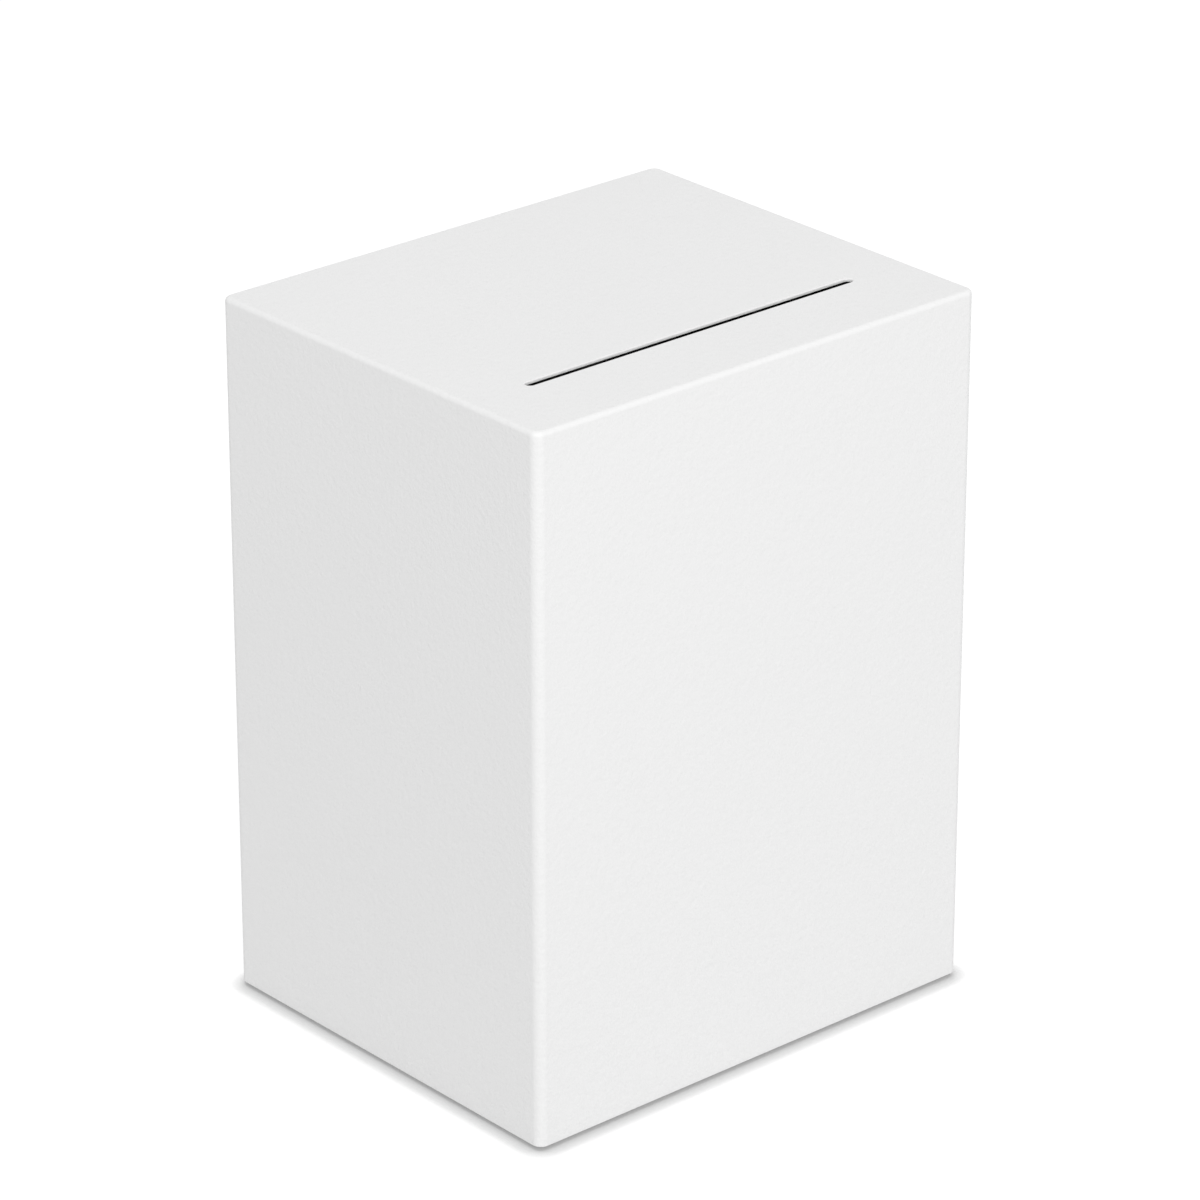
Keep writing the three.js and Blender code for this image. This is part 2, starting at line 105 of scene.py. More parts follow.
# Lock: its head, barrel, plug, nut, cam and screw
HEAD_BEVEL = 0.8 * MM
HEAD_RIM = 1.6 * MM
BARREL_WALL = 2.2 * MM
BARREL_FLAT_WALL = 1.1 * MM
STOP_NOTCH_ANGLE = math.radians(136)
PLUG_FLANGE = 1.0 * MM
PLUG_FLANGE_HEIGHT = 1.2 * MM
KEYWAY_WIDTH = 1.8 * MM
KEYWAY_WALL = 1.8 * MM
KEYWAY_DEPTH = 9.0 * MM
NUT_SIDES = 6
NUT_CHAMFER = 0.8 * MM
POST_SIZE = 6.4 * MM
CAM_THICKNESS = 2.0 * MM
CAM_TIP_RADIUS = 3.0 * MM
CAM_RISER_GAP = 1.0 * MM
CAM_RISER_RUN = 1.5 * MM
CAM_SHOULDER = 1.0 * MM
SCREW_RADIUS = 2.0 * MM
SCREW_RECESS = 1.2 * MM
LOCK_EDGE = 0.15 * MM

# Facets
CORNER_STEPS = 10
FOLD_STEPS = 5
EDGE_STEPS = 2
LOCK_EDGE_STEPS = 3
ROUND_STEPS = 64
SMALL_ROUND_STEPS = 32
ROLL_STEPS = 28
SMOOTH_ANGLE = math.radians(32)

# Tolerances: of lengths, and of the share of a face's normal that points along an axis
TOLERANCE = 0.01 * MM
WELD_DISTANCE = TOLERANCE / 10
ALONG_AXIS = 0.1
SQUARE_TO_AXIS = 0.9

# Which way a drawn face is thickened, and the turn that points a piece from the back into the box
INWARDS = -1
BOTH_WAYS = 0
INTO_BOX = (math.pi / 2, 0, 0)

# Tones of the finishes, darker and lighter, and the depth of their bumps
COAT_TONES = (0.835, 0.835, 0.835), (0.875, 0.875, 0.875)
# Painted shade: the dark grey given to the coat inside the closed shell
PAINTED_SHADE_INSIDE = (0.17, 0.17, 0.172)
COAT_BUMP = 0.19 * MM
ZINC_TONES = (0.42, 0.43, 0.45), (0.55, 0.56, 0.57)
ZINC_BUMP = 0.02 * MM
CHROME_TONES = (0.42, 0.43, 0.445), (0.54, 0.55, 0.565)
BRASS_TONES = (0.52, 0.36, 0.12), (0.66, 0.48, 0.19)
BRASS_BUMP = 0.015 * MM
RUBBER_TONES = (0.012, 0.012, 0.013), (0.022, 0.022, 0.023)
RUBBER_BUMP = 0.05 * MM

# Camera
VIEW_AZIMUTH = math.radians(-41.21)
VIEW_ELEVATION = math.radians(24.04)
VIEW_DISTANCE = 1.2445
VIEW_AIM = Vector((2.56, 0.49, 88.73)) * MM
LENS = 175.96

# Light and floor
WHITE_LIGHT = (1, 1, 1, 1)
SKY_STRENGTH = 0.69
KEY_TOWARDS = Vector((-0.4, -0.7, 0.59))
KEY_DISTANCE = 3.0
KEY_SIZE = 1.0
KEY_POWER = 39.3
FLOOR_SIZE = 8.0
FLOOR_WHITE = 0.7
FLOOR_SHARE = 0.33
FLOOR_LIFT = 0.86
# The floor's contact shadow is painted: ambient occlusion near the box darkens the floor's glow
SHADOW_REACH = 4.2 * MM
SHADOW_DEPTH = 1.8
SHADOW_LEAST = 0.31
SHADOW_SAMPLES = 4

# Solids that come in sets
feet = ("foot_front_left", "foot_front_right", "foot_rear_left", "foot_rear_right")
frame_rivets = tuple(f"frame_rivet_{number}" for number in (1, 2, 3, 4))
door_rivets = tuple(f"door_rivet_{number}" for number in (1, 2, 3, 4))

# Places taken from the solids
shell_low, shell_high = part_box("body_shell")
door_low, door_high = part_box("rear_door")
base_low, base_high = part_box("base_pan")
joint_places = {joint["name"]: Vector(joint["pos_m"]) for joint in frame["joints"]}
hinge_axis = joint_places["door_hinge"]
lock_axis = joint_places["lock_turn"]
back_y = shell_high.y
base_top = base_low.z + SHEET
reveal = Vector((DOOR_REVEAL, 0, DOOR_REVEAL))
opening_low = door_low - reveal
opening_high = door_high + reveal
slot_middle = Vector((0, shell_low.y + SLOT_SETBACK, shell_high.z))
slot_half = Vector((SLOT_LENGTH / 2, SLOT_WIDTH / 2, 0))


def half_width(name):
    low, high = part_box(name)
    return (high.x - low.x) / 2


def depths(name):
    """Where a solid begins and ends, counted into the box from the door's outer face."""
    low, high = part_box(name)
    return back_y - high.y, back_y - low.y


def on_floor(name):
    """The place on the floor under the middle of a solid."""
    low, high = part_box(name)
    return (low.x + high.x) / 2, (low.y + high.y) / 2, 0


def on_back(name):
    """The place on the door's outer face over the middle of a solid."""
    low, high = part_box(name)
    return (low.x + high.x) / 2, back_y, (low.z + high.z) / 2


# Radii and depths of the lock
head_radius = half_width("lock_housing")
head_front, barrel_end = depths("lock_housing")
barrel_radius = head_radius - HEAD_RIM
plug_bore = barrel_radius - BARREL_WALL
plug_radius = plug_bore - RUNNING_GAP
barrel_flat = plug_bore + BARREL_FLAT_WALL


# Modelling: selecting, adding and shaping

def pick_alone(piece):
    bpy.ops.object.select_all(action="DESELECT")
    piece.select_set(True)
    bpy.context.view_layer.objects.active = piece


@contextmanager
def editing(piece):
    pick_alone(piece)
    bpy.ops.object.mode_set(mode="EDIT")
    yield
    bpy.ops.object.mode_set(mode="OBJECT")


def choose(piece, kind, wanted):
    """Selects the edges or faces that pass a test, in edit mode."""
    bpy.ops.mesh.select_mode(type=kind)
    bpy.ops.mesh.select_all(action="DESELECT")
    mesh = bmesh.from_edit_mesh(piece.data)
    for element in mesh.edges if kind == "EDGE" else mesh.faces:
        if wanted(element):
            element.select_set(True)
    bmesh.update_edit_mesh(piece.data)


def runs_along(edge, axis):
    step = edge.verts[1].co - edge.verts[0].co
    return all(abs(step[other]) < TOLERANCE for other in (X, Y, Z) if other != axis)


def lies_at(element, axis, level):
    return all(abs(corner.co[axis] - level) < TOLERANCE for corner in element.verts)


def lies_within(element, low, high):
    return all(
        low[axis] - TOLERANCE < corner.co[axis] < high[axis] + TOLERANCE
        for corner in element.verts
        for axis in (X, Y, Z)
    )


def is_fold(edge, axis):
    """True where a face square to the axis meets one that runs along it."""
    slopes = sorted(abs(face.normal[axis]) for face in edge.link_faces)
    return len(slopes) == 2 and slopes[0] < ALONG_AXIS and slopes[1] > SQUARE_TO_AXIS


def settle(piece):
    """Puts a piece's place, turn and scale in its mesh."""
    pick_alone(piece)
    bpy.ops.object.transform_apply(location=True, rotation=True, scale=True)


def name_new(name):
    """Names and settles the piece that was added last."""
    piece = bpy.context.object
    piece.name = name
    settle(piece)
    return piece


def stand(piece, place, turned_by=(0, 0, 0)):
    """Puts a piece that was made at the origin in its place."""
    piece.rotation_euler = turned_by
    piece.location = place
    settle(piece)
    return piece


def add_block(name, low, high):
    bpy.ops.mesh.primitive_cube_add(size=1, location=(low + high) / 2, scale=high - low)
    return name_new(name)


def add_bar(name, half_x, half_y, start, end):
    """A block with the z axis in its middle."""
    return add_block(name, Vector((-half_x, -half_y, start)), Vector((half_x, half_y, end)))


def round_off(radius, steps):
    """Rounds the selected edges, in edit mode."""
    bpy.ops.mesh.bevel(offset_type="OFFSET", offset=radius, segments=steps, affect="EDGES")


def apply_modifier(piece, kind, **settings):
    pick_alone(piece)
    modifier = piece.modifiers.new(kind.title(), kind)
    for setting, value in settings.items():
        setattr(modifier, setting, value)
    bpy.ops.object.modifier_apply(modifier=modifier.name)


def thicken(piece, thickness, side):
    apply_modifier(piece, "SOLIDIFY", thickness=thickness, offset=side, use_even_offset=True)


def combine(piece, operation, *tools):
    for tool in tools:
        apply_modifier(piece, "BOOLEAN", operation=operation, solver="EXACT", object=tool)
        bpy.data.objects.remove(tool)


def soften(piece, width, steps=EDGE_STEPS):
    """Rounds every sharp edge a little."""
    apply_modifier(
        piece, "BEVEL", width=width, segments=steps, limit_method="ANGLE", angle_limit=SMOOTH_ANGLE
    )


def shade(piece):
    """Shades round faces smoothly and leaves flat ones flat."""
    pick_alone(piece)
    bpy.ops.object.shade_smooth_by_angle(angle=SMOOTH_ANGLE)
    apply_modifier(piece, "WEIGHTED_NORMAL", keep_sharp=True)


def tidy_normals(piece):
    with editing(piece):
        bpy.ops.mesh.select_all(action="SELECT")
        bpy.ops.mesh.remove_doubles(threshold=WELD_DISTANCE)
        bpy.ops.mesh.normals_make_consistent(inside=False)


def turn(name, profile, steps, ring=False):
    """Draws a profile of radius and level up from its first circle, about the z axis."""
    radius, level = profile[0]
    bpy.ops.mesh.primitive_circle_add(
        vertices=steps, radius=radius, fill_type="NOTHING" if ring else "NGON", location=(0, 0, level)
    )
    piece = name_new(name)
    with editing(piece):
        bpy.ops.mesh.select_mode(type="EDGE")
        bpy.ops.mesh.select_all(action="SELECT")
        for next_radius, next_level in profile[1:]:
            bpy.ops.mesh.extrude_edges_move(
                TRANSFORM_OT_translate={"value": (0, 0, next_level - level), "orient_type": "GLOBAL"}
            )
            grow = next_radius / radius
            bpy.ops.transform.resize(value=(grow, grow, 1), center_override=(0, 0, next_level))
            radius, level = next_radius, next_level
        if not ring:
            bpy.ops.mesh.edge_face_add()
    tidy_normals(piece)
    return piece


def add_rod(name, radius, start, end, steps):
    """A plain round rod along the z axis."""
    return turn(name, [(radius, start), (radius, end)], steps)


# Coated sheet: shell, base and door

def fold_pan(name, low, high, axis, faces_up, corner_radius, face_radius):
    """The outside of a sheet pan, open at one end of an axis and with its face at the other."""
    face_level, rim_level = (high[axis], low[axis]) if faces_up else (low[axis], high[axis])
    piece = add_block(name, low, high)
    with editing(piece):
        choose(piece, "EDGE", lambda edge: runs_along(edge, axis))
        round_off(corner_radius, CORNER_STEPS)
        choose(piece, "EDGE", lambda edge: lies_at(edge, axis, face_level))
        round_off(face_radius, CORNER_STEPS)
        choose(piece, "FACE", lambda face: lies_at(face, axis, rim_level))
        bpy.ops.mesh.delete(type="FACE")
    return piece


def frame_ring(inset, radius):
    """Places round the door's opening, drawn in by some distance, from its upper right corner on."""
    half = (opening_high - opening_low) / 2
    middle = (opening_high + opening_low) / 2
    places = []
    for corner, (side_x, side_z) in enumerate(((1, 1), (-1, 1), (-1, -1), (1, -1))):
        for step in range(CORNER_STEPS + 1):
            angle = math.pi / 2 * (corner + step / CORNER_STEPS)
            x = middle.x + side_x * (half.x - inset - radius) + radius * math.cos(angle)
            z = middle.z + side_z * (half.z - inset - radius) + radius * math.sin(angle)
            places.append((x, z))
    return places


def frame_sections():
    """How far the sheet stands into the opening, its corner radius and its level, from wall to lip."""
    lip_y = back_y - JAMB_DEPTH + SHEET
    angles = [math.pi / 2 * step / FOLD_STEPS for step in range(FOLD_STEPS + 1)]
    sections = []
    for angle in angles:
        inset = FOLD_RADIUS * (math.sin(angle) - 1)
        sections.append((inset, OPENING_CORNER - inset, back_y - FOLD_RADIUS * (1 - math.cos(angle))))
    for angle in angles:
        inset = FOLD_INSIDE * (1 - math.cos(angle))
        sections.append((inset, OPENING_CORNER - inset, lip_y + FOLD_INSIDE * (1 - math.sin(angle))))
    sections.append((LIP_WIDTH, OPENING_CORNER, lip_y))
    return sections


def fold_door_frame(piece):
    """Folds a jamb and a stop lip in from the back wall, all round the door's opening."""
    mesh = bmesh.new()
    mesh.from_mesh(piece.data)
    wall = next(face for face in mesh.faces if lies_at(face, Y, back_y))
    middle = wall.calc_center_median()

    def heading(corner):
        return math.atan2(corner.co.z - middle.z, corner.co.x - middle.x) % (2 * math.pi)

    corners = sorted(wall.verts, key=heading)
    bmesh.ops.delete(mesh, geom=[wall], context="FACES_ONLY")
    rings = []
    for inset, radius, level in frame_sections():
        rings.append([mesh.verts.new((x, level, z)) for x, z in frame_ring(inset, radius)])
    edge = rings[0]
    count = len(edge)
    for outer, inner in zip(rings, rings[1:]):
        for index in range(count):
            after = (index + 1) % count
            mesh.faces.new((outer[index], outer[after], inner[after], inner[index]))
    for number, corner in enumerate(corners):
        next_corner = corners[(number + 1) % len(corners)]
        start = number * (CORNER_STEPS + 1)
        end = start + CORNER_STEPS
        for index in range(start, end):
            mesh.faces.new((corner, edge[index + 1], edge[index]))
        mesh.faces.new((corner, next_corner, edge[(end + 1) % count], edge[end]))
    mesh.to_mesh(piece.data)
    mesh.free()
    tidy_normals(piece)


def slot_tool():
    reach = slot_half + Vector((0, 0, 2 * SHEET))
    piece = add_block("slot_tool", slot_middle - reach, slot_middle + reach)
    with editing(piece):
        choose(piece, "EDGE", lambda edge: runs_along(edge, Z))
        round_off(SLOT_WIDTH / 2 - TOLERANCE, CORNER_STEPS)
    return piece


def round_slot_rim(piece):
    """Rounds the slot's upper edge, as the punch and the coat leave it."""
    low = slot_middle - slot_half
    high = slot_middle + slot_half
    with editing(piece):
        choose(piece, "EDGE", lambda edge: lies_within(edge, low, high) and is_fold(edge, Z))
        round_off(SLOT_RIM, FOLD_STEPS)


def rivet_holes(rivets):
    holes = []
    for name in rivets:
        hole = add_rod(
            "hole_tool", RIVET_SHANK + RUNNING_GAP, -OVERRUN, SHEET + OVERRUN, SMALL_ROUND_STEPS
        )
        holes.append(stand(hole, on_back(name), INTO_BOX))
    return holes


def foot_holes():
    holes = []
    for name in feet:
        low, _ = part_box(name)
        hole = add_rod(
            "hole_tool", FOOT_STEM + RUNNING_GAP, low.z, base_top + OVERRUN, SMALL_ROUND_STEPS
        )
        holes.append(stand(hole, on_floor(name)))
    return holes


def barrel_tool():
    """The lock's round hole with two flats."""
    radius = barrel_radius + RUNNING_GAP
    reach = 2 * radius
    tool = add_rod("barrel_tool", radius, -OVERRUN, SHEET + OVERRUN, ROUND_STEPS)
    combine(tool, "INTERSECT", add_bar("flats_tool", barrel_flat + RUNNING_GAP, reach, -reach, reach))
    return stand(tool, lock_axis, INTO_BOX)


def coated_shell():
    piece = fold_pan("coated_shell", shell_low, shell_high, Z, True, UPRIGHT_RADIUS, TOP_RADIUS)
    fold_door_frame(piece)
    thicken(piece, SHEET, INWARDS)
    soften(piece, CUT_EDGE)
    combine(piece, "DIFFERENCE", slot_tool(), *rivet_holes(frame_rivets))
    round_slot_rim(piece)
    return piece


def coated_base():
    corner = UPRIGHT_RADIUS - SHEET - SEAT_GAP
    piece = fold_pan("coated_base", base_low, base_high, Z, False, corner, FOLD_RADIUS)
    thicken(piece, SHEET, INWARDS)
    combine(piece, "DIFFERENCE", *foot_holes())
    soften(piece, CUT_EDGE)
    return piece


def coated_door():
    corner = OPENING_CORNER - DOOR_REVEAL
    piece = fold_pan("coated_door", door_low, door_high, Y, True, corner, FOLD_RADIUS)
    thicken(piece, SHEET, INWARDS)
    soften(piece, CUT_EDGE)
    combine(piece, "DIFFERENCE", barrel_tool(), *rivet_holes(door_rivets))
    return piece


# Rubber feet

def rubber_foot(name):
    low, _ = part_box(name)
    head = half_width(name)
    head_top = base_low.z - SEAT_GAP
    barb = base_top + SEAT_GAP
    profile = [
        (head - FOOT_CHAMFER, low.z),
        (head, low.z + FOOT_CHAMFER),
        (head, head_top),
        (FOOT_STEM, head_top),
        (FOOT_STEM, barb),
        (FOOT_BARB, barb),
        (FOOT_STEM, barb + FOOT_BARB_HEIGHT),
    ]
    piece = turn(f"rubber_{name}", profile, ROUND_STEPS)
    soften(piece, CUT_EDGE)
    return stand(piece, on_floor(name))


# Knuckle hinge: each leaf is one notched strip, rolled round the pin

def plated_leaf(name, node, side, first_knuckle, rivets):
    low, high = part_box(node)
    reach = max(side * (high.x - hinge_axis.x), side * (low.x - hinge_axis.x))
    height = high.z - low.z
    strip_start = hinge_axis.y - low.y + RUNNING_GAP
    strip_middle = (hinge_axis.x + side * reach / 2, low.y + LEAF_THICKNESS / 2, (low.z + high.z) / 2)
    pitch = (height + RUNNING_GAP) / KNUCKLE_COUNT
    bottom = hinge_axis.z - pitch * KNUCKLE_COUNT / 2
    bpy.ops.mesh.primitive_plane_add(size=1, location=strip_middle, rotation=INTO_BOX)
    bpy.context.object.scale = (reach, height, 1)
    piece = name_new(name)
    with editing(piece):
        cuts = [((hinge_axis.x + side * strip_start, 0, 0), (1, 0, 0))]
        for index in range(1, KNUCKLE_COUNT):
            for gap_side in (-1, 1):
                level = bottom + index * pitch + gap_side * RUNNING_GAP / 2
                cuts.append(((0, 0, level), (0, 0, 1)))
        for place, direction in cuts:
            bpy.ops.mesh.select_all(action="SELECT")
            bpy.ops.mesh.bisect(plane_co=place, plane_no=direction)
        choose(piece, "EDGE", lambda edge: lies_at(edge, X, hinge_axis.x))
        bpy.ops.mesh.spin(steps=ROLL_STEPS, angle=side * ROLL_ANGLE, center=hinge_axis, axis=(0, 0, 1))

        def is_notch(face):
            middle = face.calc_center_median()
            place = (middle.z - bottom) / pitch
            in_gap = abs(place - round(place)) * pitch < RUNNING_GAP / 2
            own_knuckle = int(place) % 2 == first_knuckle
            return side * (middle.x - hinge_axis.x) < strip_start and (in_gap or not own_knuckle)

        choose(piece, "FACE", is_notch)
        bpy.ops.mesh.delete(type="FACE")
    tidy_normals(piece)
    thicken(piece, LEAF_THICKNESS, BOTH_WAYS)
    soften(piece, LEAF_EDGE)
    combine(piece, "DIFFERENCE", *rivet_holes(rivets))
    return piece


def plated_pin():
    low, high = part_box("hinge_pin")
    head = half_width("hinge_pin")
    half_head = PIN_HEAD_HEIGHT / 2
    profile = [
        (PIN_RADIUS, low.z),
        (head, low.z + half_head),
        (head, low.z + PIN_HEAD_HEIGHT),
        (PIN_RADIUS, low.z + PIN_HEAD_HEIGHT),
        (PIN_RADIUS, high.z - PIN_HEAD_HEIGHT),
        (head, high.z - PIN_HEAD_HEIGHT),
        (head, high.z - half_head),
        (PIN_RADIUS, high.z),
    ]
    piece = turn("plated_pin", profile, SMALL_ROUND_STEPS)
    soften(piece, LEAF_EDGE)
    return stand(piece, (hinge_axis.x, hinge_axis.y, 0))


def plated_rivet(name):
    head = half_width(name)
    top, tail = depths(name)
    dimple_share = RIVET_DIMPLE / head
    profile = [(RIVET_DIMPLE_FLOOR, top + RIVET_DIMPLE_DEPTH), (RIVET_DIMPLE, top + RIVET_DIMPLE_RIM)]
    for step in range(FOLD_STEPS + 1):
        share = dimple_share + (1 - dimple_share) * step / FOLD_STEPS
        angle = math.asin(share)
        profile.append((head * share, top + RIVET_HEAD_HEIGHT * (1 - math.cos(angle))))
    profile += [
        (RIVET_SHANK, top + RIVET_HEAD_HEIGHT),
        (RIVET_SHANK, tail - RIVET_TAIL_HEIGHT),
        (RIVET_TAIL, tail - RIVET_TAIL_HEIGHT),
        (RIVET_TAIL, tail),
    ]
    piece = turn(f"plated_{name}", profile, SMALL_ROUND_STEPS)
    soften(piece, RIVET_EDGE)
    return stand(piece, on_back(name), INTO_BOX)


# Lock: turned about the z axis, with its depth as the level, and then put in the door

def notch_tool():
    """A wedge over the barrel's end: the gap in which the stop lug swings."""
    stop_front, _ = depths("stop_washer")
    floor = stop_front - RUNNING_GAP
    height = 2 * barrel_radius
    half = height * math.tan(STOP_NOTCH_ANGLE / 2)
    piece = add_block(
        "notch_tool", Vector((-half, 0, floor)), Vector((half, height, barrel_end + OVERRUN))
    )
    with editing(piece):
        choose(piece, "FACE", lambda face: lies_at(face, Y, 0))
        bpy.ops.transform.resize(value=(0, 1, 1), center_override=(0, 0, floor))
    tidy_normals(piece)
    return piece


def chromed_housing():
    mouth = plug_radius + PLUG_FLANGE + RUNNING_GAP
    flange_seat = head_front + PLUG_FLANGE_HEIGHT + RUNNING_GAP
    profile = [
        (mouth, head_front),
        (head_radius - HEAD_BEVEL, head_front),
        (head_radius, head_front + HEAD_BEVEL),
        (head_radius, -SEAT_GAP),
        (barrel_radius, -SEAT_GAP),
        (barrel_radius, barrel_end),
        (plug_bore, barrel_end),
        (plug_bore, flange_seat),
        (mouth, flange_seat),
        (mouth, head_front),
    ]
    piece = turn("chromed_housing", profile, ROUND_STEPS, ring=True)
    soften(piece, LOCK_EDGE, LOCK_EDGE_STEPS)
    waste_low = Vector((barrel_flat, -barrel_radius, -SEAT_GAP - TOLERANCE))
    waste_high = Vector((barrel_flat + barrel_radius, barrel_radius, barrel_end + OVERRUN))
    for half_turn in (math.pi, 0):
        waste = add_block("flat_tool", waste_low, waste_high)
        combine(piece, "DIFFERENCE", stand(waste, (0, 0, 0), (0, 0, half_turn)))
    combine(piece, "DIFFERENCE", notch_tool())
    return stand(piece, lock_axis, INTO_BOX)


def brass_plug():
    face, post_end = depths("lock_plug")
    screw_tip, _ = depths("cam_screw")
    flange = plug_radius + PLUG_FLANGE
    shoulder = barrel_end + RUNNING_GAP
    profile = [
        (flange, face),
        (flange, face + PLUG_FLANGE_HEIGHT),
        (plug_radius, face + PLUG_FLANGE_HEIGHT),
        (plug_radius, shoulder),
    ]
    piece = turn("brass_plug", profile, ROUND_STEPS)
    post = add_bar("post", POST_SIZE / 2, POST_SIZE / 2, shoulder - OVERRUN, post_end)
    combine(piece, "UNION", post)
    keyway = add_bar(
        "keyway_tool", KEYWAY_WIDTH / 2, plug_radius - KEYWAY_WALL, face - OVERRUN, face + KEYWAY_DEPTH
    )
    combine(piece, "DIFFERENCE", keyway)
    thread = add_rod(
        "thread_tool",
        SCREW_RADIUS + RUNNING_GAP,
        screw_tip - RUNNING_GAP,
        post_end + OVERRUN,
        SMALL_ROUND_STEPS,
    )
    combine(piece, "DIFFERENCE", thread)
    soften(piece, LOCK_EDGE, LOCK_EDGE_STEPS)
    return stand(piece, lock_axis, INTO_BOX)


def plated_nut():
    front, rear = depths("lock_nut")
    corner = half_width("lock_nut")
    bpy.ops.mesh.primitive_cylinder_add(
        vertices=NUT_SIDES,
        radius=corner,
        depth=rear - front,
        location=(0, 0, (front + rear) / 2),
        rotation=(0, 0, math.pi / NUT_SIDES),
    )
    piece = name_new("plated_nut")
    chamfer_profile = [
        (corner + OVERRUN, front - OVERRUN),
        (corner + OVERRUN, rear - (NUT_CHAMFER + OVERRUN) / 2),
        (corner - NUT_CHAMFER, rear),
    ]
    combine(piece, "INTERSECT", turn("chamfer_tool", chamfer_profile, ROUND_STEPS))
    soften(piece, LEAF_EDGE)
    bore = add_rod("bore_tool", barrel_radius + RUNNING_GAP, front - OVERRUN, rear + OVERRUN, ROUND_STEPS)
    combine(piece, "DIFFERENCE", bore)
    return stand(piece, lock_axis, INTO_BOX)


def plated_cam():
    """A plate with an eye, cranked towards the door to pass behind the stop lip."""
    low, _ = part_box("lock_cam")
    tongue_front, cam_back = depths("lock_cam")
    cam_front = cam_back - CAM_THICKNESS
    eye = half_width("lock_cam")
    reach = lock_axis.z - low.z
    half = eye - CAM_SHOULDER
    piece = add_block("plated_cam", Vector((-half, -reach, cam_front)), Vector((half, 0, cam_back)))
    with editing(piece):
        choose(piece, "EDGE", lambda edge: runs_along(edge, Z) and lies_at(edge, Y, -reach))
        round_off(CAM_TIP_RADIUS, CORNER_STEPS)
        riser = barrel_radius + CAM_RISER_GAP
        for place in (riser, riser + CAM_RISER_RUN):
            bpy.ops.mesh.select_all(action="SELECT")
            bpy.ops.mesh.bisect(plane_co=(0, -place, cam_front), plane_no=(0, 1, 1))
        beyond = riser + CAM_RISER_RUN - TOLERANCE

        def past_crank(face):
            return all(-corner.co.y - (corner.co.z - cam_front) > beyond for corner in face.verts)

        choose(piece, "FACE", past_crank)
        bpy.ops.transform.translate(value=(0, 0, tongue_front - cam_front))
    combine(piece, "UNION", add_rod("eye", eye, cam_front, cam_back, ROUND_STEPS))
    hole = POST_SIZE / 2 + RUNNING_GAP
    combine(piece, "DIFFERENCE", add_bar("hole_tool", hole, hole, cam_front - OVERRUN, cam_back + OVERRUN))
    soften(piece, LOCK_EDGE)
    return stand(piece, lock_axis, INTO_BOX)


def plated_screw():
    tip, top = depths("cam_screw")
    _, cam_back = depths("lock_cam")
    head = half_width("cam_screw")
    under_head = cam_back + SEAT_GAP
    head_middle = (under_head + top) / 2
    profile = [
        (SCREW_RADIUS, tip),
        (SCREW_RADIUS, under_head),
        (head, under_head),
        (head, head_middle),
        (head - (top - head_middle), top),
    ]
    piece = turn("plated_screw", profile, ROUND_STEPS)
    long_arm = head / 2
    short_arm = SCREW_RADIUS / 4
    for half_x, half_y in ((long_arm, short_arm), (short_arm, long_arm)):
        recess = add_bar("recess_tool", half_x, half_y, top - SCREW_RECESS, top + OVERRUN)
        combine(piece, "DIFFERENCE", recess)
    soften(piece, LOCK_EDGE)
    return stand(piece, lock_axis, INTO_BOX)


# Shader nodes and node groups

def set_sockets(node, values):
    """Sets sockets by name, with _ for each space in it."""
    for socket, value in values.items():
        node.inputs[socket.replace("_", " ")].default_value = value


def add_node(tree, kind, **values):
    node = tree.nodes.new(kind)
    set_sockets(node, values)
    return node


def calculate(tree, operation, first, second):
    """The result of a sum on a socket and a number or another socket."""
    node = tree.nodes.new("ShaderNodeMath")
    node.operation = operation
    tree.links.new(first, node.inputs[0])
    if isinstance(second, float):
        node.inputs[1].default_value = second
    else:
        tree.links.new(second, node.inputs[1])
    return node.outputs["Value"]


def make_group(name, vectors_in, numbers_in, numbers_out):
    tree = bpy.data.node_groups.new(name, "ShaderNodeTree")
    rows = (
        (vectors_in, "INPUT", "NodeSocketVector"),
        (numbers_in, "INPUT", "NodeSocketFloat"),
        (numbers_out, "OUTPUT", "NodeSocketFloat"),
    )
    for sockets, side, kind in rows:
        for socket in sockets:
            tree.interface.new_socket(socket, in_out=side, socket_type=kind)
    return tree, tree.nodes.new("NodeGroupInput"), tree.nodes.new("NodeGroupOutput")


def stipple_group():
    """Fine bumps of two sizes, as of a coat or a moulded skin: their height, and a tone round a half."""
    tree, given, result = make_group(
        "stipple", ("Place",), ("Coarse", "Fine", "Fine Share"), ("Height", "Tone")
    )
    coarse = add_node(tree, "ShaderNodeTexNoise", Detail=2.0, Roughness=0.5)
    fine = add_node(tree, "ShaderNodeTexNoise", Detail=3.0, Roughness=0.6)
    height = tree.nodes.new("ShaderNodeMix")
    link = tree.links.new
    link(given.outputs["Place"], coarse.inputs["Vector"])
    link(given.outputs["Place"], fine.inputs["Vector"])
    link(given.outputs["Coarse"], coarse.inputs["Scale"])
    link(given.outputs["Fine"], fine.inputs["Scale"])
    link(given.outputs["Fine Share"], height.inputs["Factor"])
    link(coarse.outputs["Fac"], height.inputs["A"])
    link(fine.outputs["Fac"], height.inputs["B"])
    link(height.outputs["Result"], result.inputs["Height"])
    link(fine.outputs["Fac"], result.inputs["Tone"])
    return tree


def cloud_group():
    """Soft patches that run between two values."""
    tree, given, result = make_group("cloud", ("Place",), ("Scale", "Low", "High"), ("Value",))
    noise = add_node(tree, "ShaderNodeTexNoise", Detail=4.0, Roughness=0.55)
    spread = add_node(tree, "ShaderNodeMapRange", From_Min=0.3, From_Max=0.7)
    link = tree.links.new
    link(given.outputs["Place"], noise.inputs["Vector"])
    link(given.outputs["Scale"], noise.inputs["Scale"])
    link(noise.outputs["Fac"], spread.inputs["Value"])
    link(given.outputs["Low"], spread.inputs["To Min"])
    link(given.outputs["High"], spread.inputs["To Max"])
    link(spread.outputs["Result"], result.inputs["Value"])
    return tree


